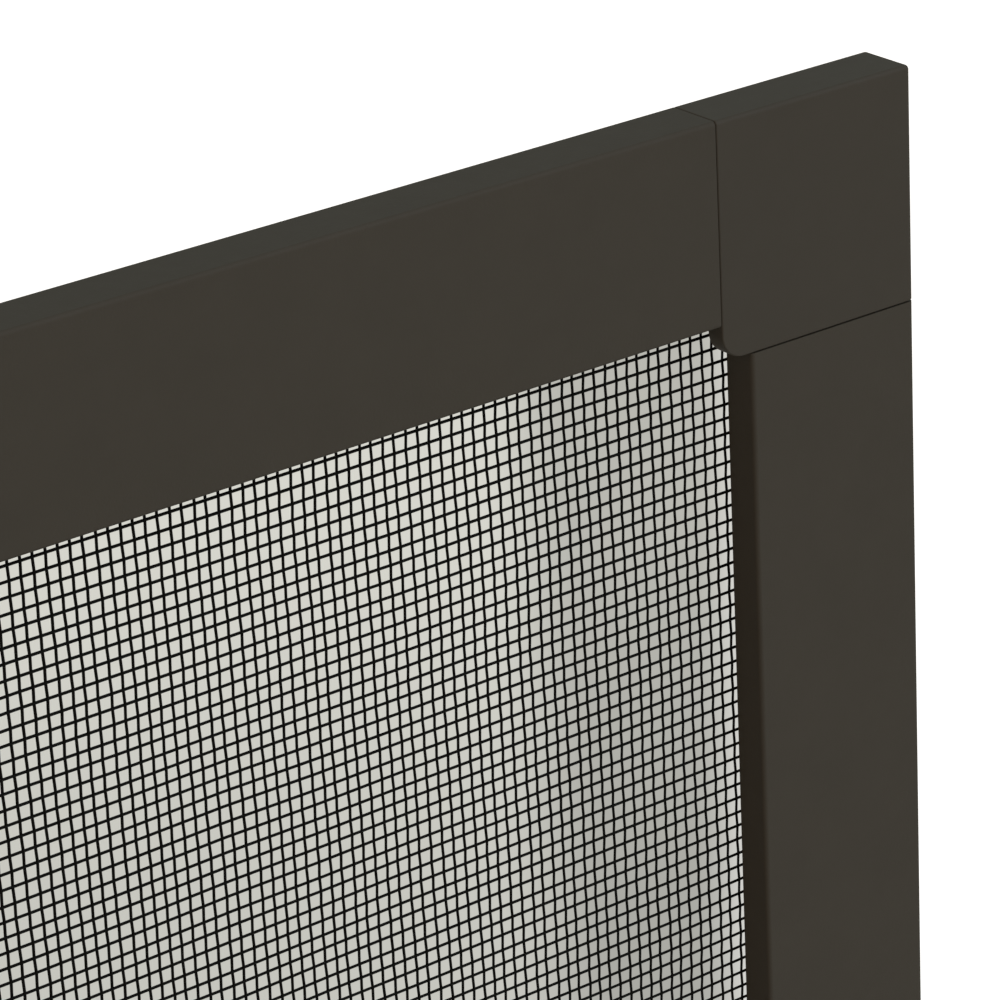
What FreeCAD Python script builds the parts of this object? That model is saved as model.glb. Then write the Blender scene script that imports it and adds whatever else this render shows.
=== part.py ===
import FreeCAD, Part
import math
import os
from collections import namedtuple

import Sketcher

# Window insect screen: four tube bars with a spline channel, four moulded corners,
# woven cloth, the ribbed spline that holds it, and two pull tabs. Millimetres.
# The frame stands on its bottom edge, the outdoor face looks along -Y.

Vector = FreeCAD.Vector
doc = FreeCAD.newDocument("window_screen")

# Driving sizes
SIZES = {
    "frame_width": 400.0,
    "frame_height": 500.0,
    "bar_width": 22.5,
    "bar_depth": 7.1,
    "tube_wall": 1.0,
    "edge_radius": 0.5,
    "lip_wall": 1.0,
    "lip_radius": 0.5,
    "cloth_level": 4.2,
    "groove_width": 4.3,
    "bead_height": 0.25,
    "bead_depth": 0.8,
    "corner_step": 3.85,
    "nose_depth": 2.3,
    "nose_radius": 2.8,
    "face_radius": 0.2,
    "seam_gap": 0.12,
    "leg_length": 35.0,
    "leg_clearance": 0.1,
    "leg_chamfer": 0.8,
    "leg_wall": 1.6,
    "spline_bend": 4.0,
    "spline_diameter": 3.3,
    "rib_height": 0.16,
    "rib_count": 14,
    "spline_butt": 0.6,
    "cloth_thickness": 0.5,
    "fold_thickness": 0.4,
    "cloth_clearance": 0.05,
    "gap_columns": 10,
    "gap_rows": 12,
    "strand_width": 5.0,
    "ridge_width": 1.6,
    "ridge_height": 0.2,
    "tab_inset": 75.0,
    "tab_width": 20.0,
    "tab_reach": 18.0,
    "tab_thickness": 0.4,
    "tab_tuck": 2.6,
    "tab_clearance": 0.05,
    "tab_corner": 4.0,
    "grip_height": 0.5,
    "grip_width": 1.2,
    "grip_inset": 3.0,
}

# Places worked out from the driving sizes, measured from a bar's outer front edge
PLACES = {
    "groove_end": "=sizes.bar_width - sizes.lip_wall",
    "groove_start": "=sizes.bar_width - sizes.lip_wall - sizes.groove_width",
    "groove_middle": "=groove_start + sizes.groove_width / 2",
    "bead_edge": "=groove_start + sizes.bead_height",
    "bead_front": "=sizes.bar_depth - sizes.bead_depth",
    "cavity_end": "=groove_start - sizes.tube_wall",
    "cavity_back": "=sizes.bar_depth - sizes.tube_wall",
    "turn_centre": "=groove_middle + sizes.spline_bend",
    "groove_turn": "=turn_centre - groove_start",
    "lip_turn": "=turn_centre - groove_end",
    "lip_inner_turn": "=turn_centre - sizes.bar_width",
    "corner_side": "=sizes.bar_width + sizes.corner_step",
    "bar_start": "=corner_side + sizes.seam_gap",
    "rail_length": "=sizes.frame_width - 2 * bar_start",
    "stile_length": "=sizes.frame_height - 2 * bar_start",
    "leg_near": "=sizes.tube_wall + sizes.leg_clearance",
    "leg_far": "=cavity_end - sizes.leg_clearance",
    "leg_back": "=cavity_back - sizes.leg_clearance",
    "leg_tip": "=corner_side + sizes.leg_length",
    "core_floor": "=leg_near + sizes.leg_wall",
    "core_far": "=leg_far - sizes.leg_wall",
    "core_start": "=corner_side + sizes.leg_wall",
    "core_tip": "=leg_tip - 2 * sizes.leg_wall",
    "cloth_back": "=sizes.cloth_level + sizes.cloth_thickness",
    "fold_floor": "=sizes.tube_wall + sizes.cloth_clearance",
    "fold_floor_back": "=fold_floor + sizes.fold_thickness",
    "spline_level": "=fold_floor_back + sizes.cloth_clearance + sizes.spline_diameter / 2",
    "tab_middle": "=sizes.frame_width / 2 - sizes.tab_inset - sizes.tab_width / 2",
    "tab_outer": "=rim_inner_near - sizes.tab_clearance - sizes.tab_thickness",
    "tab_inner": "=rim_inner_near - sizes.tab_clearance",
    "tab_front": "=ridge_back + sizes.tab_clearance",
    "tab_back": "=tab_front + sizes.tab_thickness",
    "tab_low": "=tab_back - sizes.tab_tuck",
    "tab_end": "=sizes.bar_width + sizes.tab_reach",
    "grip_end": "=tab_end - sizes.grip_inset",
    "grip_start": "=grip_end - sizes.grip_width",
    "grip_top": "=tab_back + sizes.grip_height",
    "column_pitch": "=(sizes.frame_width - 2 * sizes.bar_width - sizes.strand_width) / sizes.gap_columns",
    "row_pitch": "=(sizes.frame_height - 2 * sizes.bar_width - sizes.strand_width) / sizes.gap_rows",
    "gap_near": "=sizes.bar_width + sizes.strand_width",
    "gap_right": "=sizes.bar_width + column_pitch",
    "gap_top": "=sizes.bar_width + row_pitch",
    "last_gap_right": "=sizes.frame_width - gap_near",
    "last_gap_top": "=sizes.frame_height - gap_near",
    "strand_right": "=gap_right + sizes.strand_width",
    "strand_top": "=gap_top + sizes.strand_width",
    "ridge_front": "=sizes.cloth_level - sizes.ridge_height",
    "ridge_back": "=cloth_back + sizes.ridge_height",
    "ridge_near": "=gap_right + (sizes.strand_width - sizes.ridge_width) / 2",
    "ridge_right": "=ridge_near + sizes.ridge_width",
    "ridge_low": "=gap_top + (sizes.strand_width - sizes.ridge_width) / 2",
    "ridge_top": "=ridge_low + sizes.ridge_width",
    "opening_right": "=sizes.frame_width - sizes.bar_width",
    "opening_top": "=sizes.frame_height - sizes.bar_width",
}

# Rounded rings of the tucked cloth: each follows the frame at one distance from its edge
RINGS = {
    "rim_outer": "=groove_end - sizes.cloth_clearance",
    "rim_inner": "=rim_outer_near - sizes.fold_thickness",
    "upturn_inner": "=upturn_outer_near + sizes.fold_thickness",
    "upturn_outer": "=groove_start + sizes.cloth_clearance",
}


def fill_sheets():
    """Write the driving sizes and the worked-out places into two sheets."""
    sizes = doc.addObject("Spreadsheet::Sheet", "sizes")
    for row, (alias, number) in enumerate(SIZES.items(), start=1):
        sizes.set(f"A{row}", str(number))
        sizes.setAlias(f"A{row}", alias)
    formulas = dict(PLACES)
    for ring, formula in RINGS.items():
        formulas[f"{ring}_near"] = formula
        formulas[f"{ring}_turn"] = f"=turn_centre - {ring}_near"
        formulas[f"{ring}_right"] = f"=sizes.frame_width - {ring}_near"
        formulas[f"{ring}_top"] = f"=sizes.frame_height - {ring}_near"
    places = doc.addObject("Spreadsheet::Sheet", "places")
    for row, alias in enumerate(formulas, start=1):
        places.setAlias(f"A{row}", alias)
    for row, formula in enumerate(formulas.values(), start=1):
        places.set(f"A{row}", formula)
    doc.recompute()
    return sizes, places


sizes, places = fill_sheets()


def named(alias):
    """The full name of a size or place, for an expression."""
    return f"sizes.{alias}" if alias in SIZES else f"places.{alias}"


def size(alias):
    """The number that a size or place has now."""
    return float((sizes if alias in SIZES else places).get(alias))


def place_of(alias):
    """Coordinate of a sketch corner; no alias means that it lies on the axis."""
    return size(alias) if alias else 0.0


# The origin planes that the sketches lie on: across a bar, parallel to the face, and end on
SECTION = "XY_Plane"
FACE = "XZ_Plane"
SIDE = "YZ_Plane"


def origin_item(body, role):
    """One plane or axis of the body's own origin."""
    return next(item for item in body.Origin.OriginFeatures if item.Role == role)


# One point of a sketched outline: its named corner, and how far a rounding moves it from there
Mark = namedtuple("Mark", "x y shift radius")


def step_towards(here, there):
    """Unit step along x and y from one corner to the next."""
    pairs = [(place_of(a), place_of(b)) for a, b in zip(here[:2], there[:2])]
    return tuple((b > a) - (b < a) for a, b in pairs)


def outline_marks(loop):
    """A square corner (x, y) gives one point, a rounded one (x, y, radius) its two tangent points."""
    marks = []
    for index, corner in enumerate(loop):
        if len(corner) == 2:
            marks.append(Mark(*corner, (0, 0), None))
            continue
        for neighbour in (loop[index - 1], loop[(index + 1) % len(loop)]):
            marks.append(Mark(*corner[:2], step_towards(corner, neighbour), corner[2]))
    return marks


def mark_point(mark):
    """Where an outline point lies with the sizes as they are now."""
    amount = size(mark.radius) if mark.radius else 0.0
    return Vector(place_of(mark.x), place_of(mark.y), 0) + Vector(*mark.shift, 0) * amount


def rounding(mark, following):
    """Arc between the two tangent points of one rounded corner."""
    radius = size(mark.radius)
    inwards = Vector(*mark.shift, 0) + Vector(*following.shift, 0)
    centre = Vector(place_of(mark.x), place_of(mark.y), 0) + inwards * radius
    rays = [mark_point(item) - centre for item in (mark, following)]
    angles = [math.atan2(ray.y, ray.x) for ray in rays]
    return Part.ArcOfCircle(Part.Circle(centre, Vector(0, 0, 1), radius), *angles)


def pin(sketch, curve, mark):
    """Hold a curve's first point at its named place along x and y."""
    directions = (("DistanceX", mark.x, mark.shift[0], -2), ("DistanceY", mark.y, mark.shift[1], -1))
    for direction, alias, sign, axis in directions:
        if alias is None and not sign:
            sketch.addConstraint(Sketcher.Constraint("PointOnObject", curve, 1, axis))
            continue
        number = place_of(alias)
        expression = named(alias) if alias else "0"
        if sign:
            number += sign * size(mark.radius)
            expression += f" {'+' if sign > 0 else '-'} {named(mark.radius)}"
        item = sketch.addConstraint(Sketcher.Constraint(direction, -1, 1, curve, 1, number))
        sketch.setExpression(f"Constraints[{item}]", expression)


def draw_loop(sketch, loop):
    """Closed anticlockwise outline of straight sides, with its rounded corners."""
    marks = outline_marks(loop)
    curves = []
    for mark, following in zip(marks, marks[1:] + marks[:1]):
        rounded = mark.radius is not None and mark[:2] == following[:2]
        if rounded:
            curve = sketch.addGeometry(rounding(mark, following))
            item = sketch.addConstraint(Sketcher.Constraint("Radius", curve, size(mark.radius)))
            sketch.setExpression(f"Constraints[{item}]", named(mark.radius))
        else:
            curve = sketch.addGeometry(Part.LineSegment(mark_point(mark), mark_point(following)))
        curves.append(curve)
    for curve, following in zip(curves, curves[1:] + curves[:1]):
        sketch.addConstraint(Sketcher.Constraint("Coincident", curve, 2, following, 1))
    for curve, mark in zip(curves, marks):
        pin(sketch, curve, mark)


def outline(body, name, plane, lift, *loops):
    """Sketch on one of the body's origin planes, moved off it by the named lift."""
    sketch = body.newObject("Sketcher::SketchObject", name)
    sketch.AttachmentSupport = [(origin_item(body, plane), "")]
    sketch.MapMode = "FlatFace"
    if lift:
        sign = "-" if plane == FACE else ""
        sketch.setExpression("AttachmentOffset.Base.z", f"{sign}{named(lift)}")
    for loop in loops:
        draw_loop(sketch, loop)
    return sketch


def rectangle(left, low, right, top, *radii):
    """Corners of a rectangle from its lower left, anticlockwise, with a radius where given."""
    corners = [(left, low), (right, low), (right, top), (left, top)]
    return [corner if radius is None else (*corner, radius)
            for corner, radius in zip(corners, radii or (None,) * len(corners))]


def pad(body, name, sketch, length):
    """Add material from the sketch; on the face plane it grows towards the back."""
    feature = body.newObject("PartDesign::Pad", name)
    feature.Profile = sketch
    feature.setExpression("Length", length)
    feature.Reversed = sketch.AttachmentSupport[0][0].Role == FACE
    doc.recompute()
    return feature


def pocket(body, name, sketch):
    """Cut from the sketch right through to the back of the piece."""
    before = body.Shape.Volume
    feature = body.newObject("PartDesign::Pocket", name)
    feature.Profile = sketch
    feature.Type = "ThroughAll"
    doc.recompute()
    if body.Shape.Volume >= before:
        raise RuntimeError(f"{name} cuts nothing")
    return feature


def edges_where(shape, test):
    """Names of the edges whose middle and end-to-end span pass the test."""
    names = []
    for number, edge in enumerate(shape.Edges, start=1):
        if edge.Degenerated:
            continue
        middle = edge.valueAt((edge.FirstParameter + edge.LastParameter) / 2)
        span = edge.Vertexes[-1].Point - edge.Vertexes[0].Point
        if test(middle, span):
            names.append(f"Edge{number}")
    return names


def dress(body, kind, name, base, test, prop, alias):
    """Fillet or chamfer the edges of the base feature that pass the test."""
    feature = body.newObject(f"PartDesign::{kind}", name)
    feature.Base = (base, edges_where(base.Shape, test))
    feature.setExpression(prop, named(alias))
    doc.recompute()
    return feature


TOUCH = 1e-4


def near(a, b):
    """True where two lengths are the same."""
    return abs(a - b) < TOUCH


# Quarter turns about Y: each side's piece starts at one outer corner of the frame and
# runs along the side, with local X pointing inwards and local Y from front to back
QUARTER_TURN = 90.0
STATIONS = [
    ("left_stile", "corner_bottom_left", 0, "stile_length", -1, False),
    ("bottom_rail", "corner_bottom_right", -1, "rail_length", 1, False),
    ("right_stile", "corner_top_right", 2, "stile_length", 1, True),
    ("top_rail", "corner_top_left", 1, "rail_length", -1, True),
]


def seat(body, turns, side, at_top):
    """Place a body at one outer corner of the frame."""
    body.Placement = FreeCAD.Placement(Vector(), FreeCAD.Rotation(Vector(0, 1, 0), turns * QUARTER_TURN))
    body.setExpression("Placement.Base.x", f"{side} * sizes.frame_width / 2")
    body.setExpression("Placement.Base.y", "-sizes.bar_depth / 2")
    if at_top:
        body.setExpression("Placement.Base.z", "sizes.frame_height")


def make_bar(name, length):
    """Tube with the spline channel and the lip that the cloth is drawn over."""
    body = doc.addObject("PartDesign::Body", name)
    section = [
        (None, None, "edge_radius"),
        ("bar_width", None, "lip_radius"),
        ("bar_width", "cloth_level"),
        ("groove_end", "cloth_level"),
        ("groove_end", "tube_wall"),
        ("groove_start", "tube_wall"),
        ("groove_start", "bead_front"),
        ("bead_edge", "bead_front"),
        ("bead_edge", "bar_depth"),
        (None, "bar_depth", "edge_radius"),
    ]
    cavity = rectangle("tube_wall", "tube_wall", "cavity_end", "cavity_back")
    sketch = outline(body, f"{name}_section", SECTION, "bar_start", section, cavity)
    pad(body, f"{name}_length", sketch, f"places.{length}")
    return body


def make_corner(name):
    """Moulded corner: square plate with a round nose, turned channel and two legs."""
    body = doc.addObject("PartDesign::Body", name)
    side = "corner_side"
    square = outline(body, f"{name}_square", FACE, None,
                     rectangle(None, None, side, side, None, None, "nose_radius", None))
    pad(body, f"{name}_block", square, "sizes.bar_depth")
    channel = outline(body, f"{name}_channel", FACE, "tube_wall",
                      rectangle("groove_start", "groove_start", side, side, "groove_turn", None, None, None))
    pocket(body, f"{name}_channel_cut", channel)
    lip = outline(body, f"{name}_lip", FACE, None,
                  rectangle("groove_end", "groove_end", side, side, "lip_turn", None, "nose_radius", None))
    pad(body, f"{name}_lip_rise", lip, "sizes.cloth_level")
    nose = outline(body, f"{name}_nose", FACE, "nose_depth",
                   rectangle("bar_width", "bar_width", side, side, "lip_inner_turn", None, None, None))
    block = pocket(body, f"{name}_nose_cut", nose)

    reach = size(side)

    def on_outer_edge(middle, _):
        at_side, at_end = near(middle.x, 0), near(middle.z, 0)
        on_face = near(middle.y, 0) or near(middle.y, size("bar_depth"))
        return (at_side and at_end) or (on_face and at_side != at_end)

    def on_inner_face_edge(middle, _):
        return (near(middle.y, 0) and min(middle.x, middle.z) > size("edge_radius")
                and max(middle.x, middle.z) > reach - size("nose_radius"))

    rounded = dress(body, "Fillet", f"{name}_outer_round", block, on_outer_edge, "Radius", "edge_radius")
    softened = dress(body, "Fillet", f"{name}_face_round", rounded, on_inner_face_edge,
                     "Radius", "face_radius")
    body.Tip = softened

    upright = outline(body, f"{name}_upright_leg", SECTION, side,
                      rectangle("leg_near", "leg_near", "leg_far", "leg_back"))
    pad(body, f"{name}_upright_leg_length", upright, "sizes.leg_length")
    level = outline(body, f"{name}_level_leg", SIDE, side,
                    rectangle("leg_near", "leg_near", "leg_back", "leg_far"))
    legs = pad(body, f"{name}_level_leg_length", level, "sizes.leg_length")
    tip = size("leg_tip")
    dress(body, "Chamfer", f"{name}_lead_in", legs,
          lambda middle, _: near(middle.z, tip) or near(middle.x, tip),
          "Size", "leg_chamfer")
    core = outline(body, f"{name}_upright_core", FACE, "core_floor",
                   rectangle("core_floor", "core_start", "core_far", "core_tip"))
    pocket(body, f"{name}_upright_core_cut", core)
    core = outline(body, f"{name}_level_core", FACE, "core_floor",
                   rectangle("core_start", "core_floor", "core_tip", "core_far"))
    pocket(body, f"{name}_level_core_cut", core)
    return body


def ring_loop(ring):
    """The closed rounded line that runs round the frame at one ring's distance."""
    return rectangle(f"{ring}_near", f"{ring}_near", f"{ring}_right", f"{ring}_top", *[f"{ring}_turn"] * 4)


def repeat(body, name, feature, axis, pitch, count):
    """Repeat a feature along one of the body's axes."""
    pattern = body.newObject("PartDesign::LinearPattern", name)
    pattern.Originals = [feature]
    pattern.Direction = (origin_item(body, axis), [""])
    pattern.setExpression("Length", f"{pitch} * ({count} - 1)")
    pattern.setExpression("Occurrences", count)
    body.Tip = pattern
    doc.recompute()
    return pattern


def make_cloth():
    """Woven cloth over the opening, its edge folded down, under and up in the channel."""
    body = doc.addObject("PartDesign::Body", "screen_cloth")
    wall = outline(body, "cloth_wall", FACE, "cloth_level", ring_loop("rim_outer"),
                   rectangle("gap_near", "gap_near", "last_gap_right", "last_gap_top"))
    pad(body, "cloth_wall_thickness", wall, "sizes.cloth_thickness")
    rim = outline(body, "cloth_rim", FACE, "fold_floor", ring_loop("rim_outer"), ring_loop("rim_inner"))
    pad(body, "cloth_rim_depth", rim, "places.cloth_back - places.fold_floor")
    under = outline(body, "cloth_under", FACE, "fold_floor",
                    ring_loop("upturn_outer"), ring_loop("rim_inner"))
    pad(body, "cloth_under_thickness", under, "sizes.fold_thickness")
    upturn = outline(body, "cloth_upturn", FACE, "fold_floor",
                     ring_loop("upturn_outer"), ring_loop("upturn_inner"))
    pad(body, "cloth_upturn_height", upturn, "sizes.cloth_level - places.fold_floor")

    warp = outline(body, "cloth_warp", SECTION, "bar_width", [
        ("gap_right", "cloth_level"),
        ("ridge_near", "cloth_level"),
        ("ridge_near", "ridge_front"),
        ("ridge_right", "ridge_front"),
        ("ridge_right", "cloth_level"),
        ("strand_right", "cloth_level"),
        ("strand_right", "cloth_back"),
        ("gap_right", "cloth_back"),
    ])
    strand = pad(body, "cloth_warp_strand", warp, "places.opening_top - sizes.bar_width")
    repeat(body, "cloth_warp_strands", strand, "X_Axis", "places.column_pitch", "sizes.gap_columns - 1")
    weft = outline(body, "cloth_weft", SIDE, "bar_width", [
        ("cloth_level", "gap_top"),
        ("cloth_back", "gap_top"),
        ("cloth_back", "ridge_low"),
        ("ridge_back", "ridge_low"),
        ("ridge_back", "ridge_top"),
        ("cloth_back", "ridge_top"),
        ("cloth_back", "strand_top"),
        ("cloth_level", "strand_top"),
    ])
    strand = pad(body, "cloth_weft_strand", weft, "places.opening_right - sizes.bar_width")
    repeat(body, "cloth_weft_strands", strand, "Z_Axis", "places.row_pitch", "sizes.gap_rows - 1")
    return body


def make_tab(name, side):
    """Pull tab: its foot is held beside the spline, its flap lies over the cloth."""
    body = doc.addObject("PartDesign::Body", name)
    section = [
        ("tab_outer", "tab_low"),
        ("tab_inner", "tab_low"),
        ("tab_inner", "tab_front"),
        ("tab_end", "tab_front"),
        ("tab_end", "tab_back"),
        ("tab_outer", "tab_back"),
    ]
    sketch = outline(body, f"{name}_section", SECTION, None, section)
    strip = pad(body, f"{name}_strip", sketch, "sizes.tab_width")
    end = size("tab_end")
    dress(body, "Fillet", f"{name}_corners", strip,
          lambda middle, span: near(middle.x, end) and abs(span.y) > TOUCH, "Radius", "tab_corner")
    grip = outline(body, f"{name}_grip", SECTION, "grip_inset",
                   rectangle("grip_start", "tab_back", "grip_end", "grip_top"))
    pad(body, f"{name}_grip_length", grip, "sizes.tab_width - 2 * sizes.grip_inset")
    body.Placement = FreeCAD.Placement(Vector(), FreeCAD.Rotation(Vector(0, 1, 0), -QUARTER_TURN))
    body.setExpression("Placement.Base.x", f"{side} * places.tab_middle + sizes.tab_width / 2")
    body.setExpression("Placement.Base.y", "-sizes.bar_depth / 2")
    return body


def spline_section(centre, inward):
    """Ribbed round section: one bulging arc for each rib."""
    crest = size("spline_diameter") / 2
    valley = crest - size("rib_height")
    count = int(size("rib_count"))
    depth_axis = Vector(0, 1, 0)

    def point(radius, part):
        angle = 2 * math.pi * part / count
        return centre + inward * (radius * math.cos(angle)) + depth_axis * (radius * math.sin(angle))

    arcs = [Part.Arc(point(valley, rib), point(crest, rib + 0.5), point(valley, rib + 1)).toShape()
            for rib in range(count)]
    return Part.Wire(arcs)


def spline_path():
    """Line round the frame in the middle of the channel, open at the foot for the butt."""
    offset = size("groove_middle")
    bend = size("spline_bend")
    level = size("spline_level") - size("bar_depth") / 2
    right = size("frame_width") / 2 - offset
    top = size("frame_height") - offset
    half_butt = size("spline_butt") / 2

    def at(x, z):
        return Vector(x, level, z)

    diagonal = bend * (1 - math.sqrt(0.5))
    turns = [
        (at(right - bend, offset), at(right - diagonal, offset + diagonal), at(right, offset + bend)),
        (at(right, top - bend), at(right - diagonal, top - diagonal), at(right - bend, top)),
        (at(bend - right, top), at(diagonal - right, top - diagonal), at(-right, top - bend)),
        (at(-right, offset + bend), at(diagonal - right, offset + diagonal), at(bend - right, offset)),
    ]
    edges = []
    here = at(half_butt, offset)
    for start, middle, end in turns:
        edges.append(Part.LineSegment(here, start).toShape())
        edges.append(Part.Arc(start, middle, end).toShape())
        here = end
    edges.append(Part.LineSegment(here, at(-half_butt, offset)).toShape())
    return Part.Wire(edges)


def make_spline(tabs):
    """Vinyl spline pressed round the channel, squeezed flat where a tab's foot is held."""
    path = spline_path()
    start = path.Edges[0].valueAt(path.Edges[0].FirstParameter)
    section = spline_section(start, Vector(0, 0, 1))
    solid = path.makePipeShell([section], True, False)
    swept = Part.Face(section).Area * path.Length
    if not near(solid.Volume / swept, 1.0):
        print("spline volume against its sweep", solid.Volume / swept)
    for tab in tabs:
        box = tab.Shape.BoundBox
        room = size("tab_clearance")
        foot = Part.makeBox(box.XLength + 2 * room, box.YLength, box.ZLength,
                            Vector(box.XMin - room, box.YMin - room, box.ZMin - room))
        solid = solid.cut(foot)
    feature = doc.addObject("Part::Feature", "spline")
    feature.Shape = solid
    feature.Placement = FreeCAD.Placement()
    return feature


def build():
    """Make every piece and return them by name."""
    pieces = []
    for bar_name, corner_name, turns, length, side, at_top in STATIONS:
        for body in (make_bar(bar_name, length), make_corner(corner_name)):
            seat(body, turns, side, at_top)
            pieces.append(body)
    cloth = make_cloth()
    seat(cloth, 0, -1, False)
    pieces.append(cloth)
    tabs = [make_tab("pull_tab_left", -1), make_tab("pull_tab_right", 1)]
    doc.recompute()
    pieces += tabs
    pieces.append(make_spline(tabs))
    return pieces


def check_and_write(pieces):
    """Stop on any failed feature or unsound solid, then write one file for each piece."""
    doc.recompute()
    for item in doc.Objects:
        if "Invalid" in item.State or "Error" in item.State:
            raise RuntimeError(f"{item.Name} failed: {item.State}")
    os.makedirs("parts", exist_ok=True)
    for piece in pieces:
        shape = piece.Shape
        if shape.isNull() or not shape.isValid() or len(shape.Solids) != 1:
            raise RuntimeError(f"{piece.Label} is not one sound solid")
        shape.exportStep(f"parts/{piece.Label}.step")
        box = shape.BoundBox
        print(f"{piece.Label:22s} volume {shape.Volume:9.1f} faces {len(shape.Faces):4d} "
              f"x {box.XMin:8.2f} {box.XMax:8.2f} y {box.YMin:6.2f} {box.YMax:6.2f} "
              f"z {box.ZMin:7.2f} {box.ZMax:7.2f}")


check_and_write(build())
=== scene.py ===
import math

import bmesh
import bpy
from bpy.props import FloatProperty, FloatVectorProperty, IntProperty, PointerProperty
from mathutils import Matrix, Vector


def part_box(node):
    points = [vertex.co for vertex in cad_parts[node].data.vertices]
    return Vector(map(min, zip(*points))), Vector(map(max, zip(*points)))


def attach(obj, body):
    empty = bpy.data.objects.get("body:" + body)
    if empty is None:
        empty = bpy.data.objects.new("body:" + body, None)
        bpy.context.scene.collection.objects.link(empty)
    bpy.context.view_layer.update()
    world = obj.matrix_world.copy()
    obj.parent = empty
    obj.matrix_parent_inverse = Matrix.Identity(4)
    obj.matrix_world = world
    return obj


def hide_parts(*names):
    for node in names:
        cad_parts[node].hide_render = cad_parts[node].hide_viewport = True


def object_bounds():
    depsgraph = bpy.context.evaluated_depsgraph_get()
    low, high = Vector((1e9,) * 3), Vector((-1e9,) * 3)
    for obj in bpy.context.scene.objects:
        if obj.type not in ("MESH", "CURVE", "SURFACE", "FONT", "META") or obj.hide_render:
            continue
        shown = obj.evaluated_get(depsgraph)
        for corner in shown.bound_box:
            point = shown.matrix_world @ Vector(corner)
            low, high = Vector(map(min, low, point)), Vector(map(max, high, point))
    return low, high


bl_info = {
    "name": "Window insect screen",
    "version": (1, 0, 0),
    "blender": (4, 5, 0),
    "location": "3D Viewport > Sidebar > Screen",
    "description": "Finishes, woven cloth and studio for a framed insect screen",
    "category": "Object",
}

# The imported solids: metres, +Z up, the outdoor face looks along -Y
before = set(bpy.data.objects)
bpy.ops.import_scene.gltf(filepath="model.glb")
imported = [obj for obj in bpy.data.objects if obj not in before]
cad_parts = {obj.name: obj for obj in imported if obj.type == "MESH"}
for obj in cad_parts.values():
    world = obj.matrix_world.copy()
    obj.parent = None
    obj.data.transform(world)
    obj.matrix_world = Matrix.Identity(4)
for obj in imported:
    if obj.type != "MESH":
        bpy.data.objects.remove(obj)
CAD_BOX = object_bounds()

MM = 0.001
BODY = "root"
BARS = ("top_rail", "bottom_rail", "left_stile", "right_stile")
CORNERS = ("corner_top_left", "corner_top_right", "corner_bottom_left", "corner_bottom_right")
TABS = ("pull_tab_left", "pull_tab_right")

# Outline of the frame, and the width and depth of its bars
FRAME_LOW, FRAME_HIGH = CAD_BOX
BAR_LOW, BAR_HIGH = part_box("right_stile")
BAR_WIDTH = BAR_HIGH.x - BAR_LOW.x


def linear(hex_colour):
    """Linear colour of an sRGB hex value."""
    parts = [int(hex_colour[i:i + 2], 16) / 255 for i in (1, 3, 5)]
    return [part / 12.92 if part <= 0.04045 else ((part + 0.055) / 1.055) ** 2.4 for part in parts] + [1.0]


def colour_property(name, description, hex_colour):
    """A colour that the user can change."""
    return FloatVectorProperty(name=name, description=description, subtype="COLOR", size=4,
                               min=0, max=1, default=linear(hex_colour))


def length_property(name, description, millimetres):
    """A length that the user can change, in metres, with its default given in millimetres."""
    return FloatProperty(name=name, description=description, unit="LENGTH", precision=5,
                         default=millimetres * MM)


class ChannelSettings(bpy.types.PropertyGroup):
    """Spline channel at the back of the bars, measured from a bar's outer front edge."""

    lip_wall: length_property("Lip wall", "Wall between the channel and the opening", 1.0)
    groove_width: length_property("Channel width", "Width that the spline is pressed into", 4.3)
    groove_floor: length_property("Channel floor", "Depth of the channel's floor behind the face", 1.0)
    spline_bend: length_property("Spline bend", "Radius of the spline's line in the corners", 4.0)
    cloth_level: length_property("Cloth level", "Depth behind the face at which the cloth lies", 4.2)


class ClothSettings(bpy.types.PropertyGroup):
    """Plain-woven cloth and its folded edge."""

    across: length_property("Upright spacing", "Distance between two upright threads", 1.411)
    up: length_property("Level spacing", "Distance between two level threads", 1.67)
    thread: length_property("Thread", "Coated thread, measured across its four-sided section", 0.362)
    top_gap: length_property("Top gap", "Cloth between the upper fold and the topmost level thread", 0.45)
    crimp: length_property("Crimp", "How far an upright thread swings out at each crossing", 0.067)
    jitter: length_property("Uneven spacing", "Most that one thread lies off its place", 0.07)
    drift: length_property("Drift", "How far the weave wanders over some centimetres", 0.7)
    drift_size: length_property("Drift size", "Distance over which the weave wanders", 22.0)
    fade: length_property("Fade", "Distance from the fold over which the drift grows", 6.0)
    thickness: length_property("Cloth thickness", "Thickness of the flat cloth", 0.5)
    fold: length_property("Fold thickness", "Thickness of the cloth pressed in the channel", 0.4)
    clearance: length_property("Fold clearance", "Gap between the fold and the channel", 0.05)
    panels: IntProperty(name="Panels", description="Number of pieces that the weave is stored in",
                        default=4, min=1)
    colour: colour_property("Thread colour", "Vinyl coat of the threads", "#040502")


class FinishSettings(bpy.types.PropertyGroup):
    """Colours of the frame's own pieces."""

    bar: colour_property("Bar colour", "Powder coat on the four bars", "#3C382F")
    corner: colour_property("Corner colour", "Moulded corners, dyed to match the bars", "#3B372E")
    spline: colour_property("Spline colour", "Extruded vinyl spline", "#151514")
    tab: colour_property("Tab colour", "Flexible vinyl pull tabs", "#1B1B19")


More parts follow.
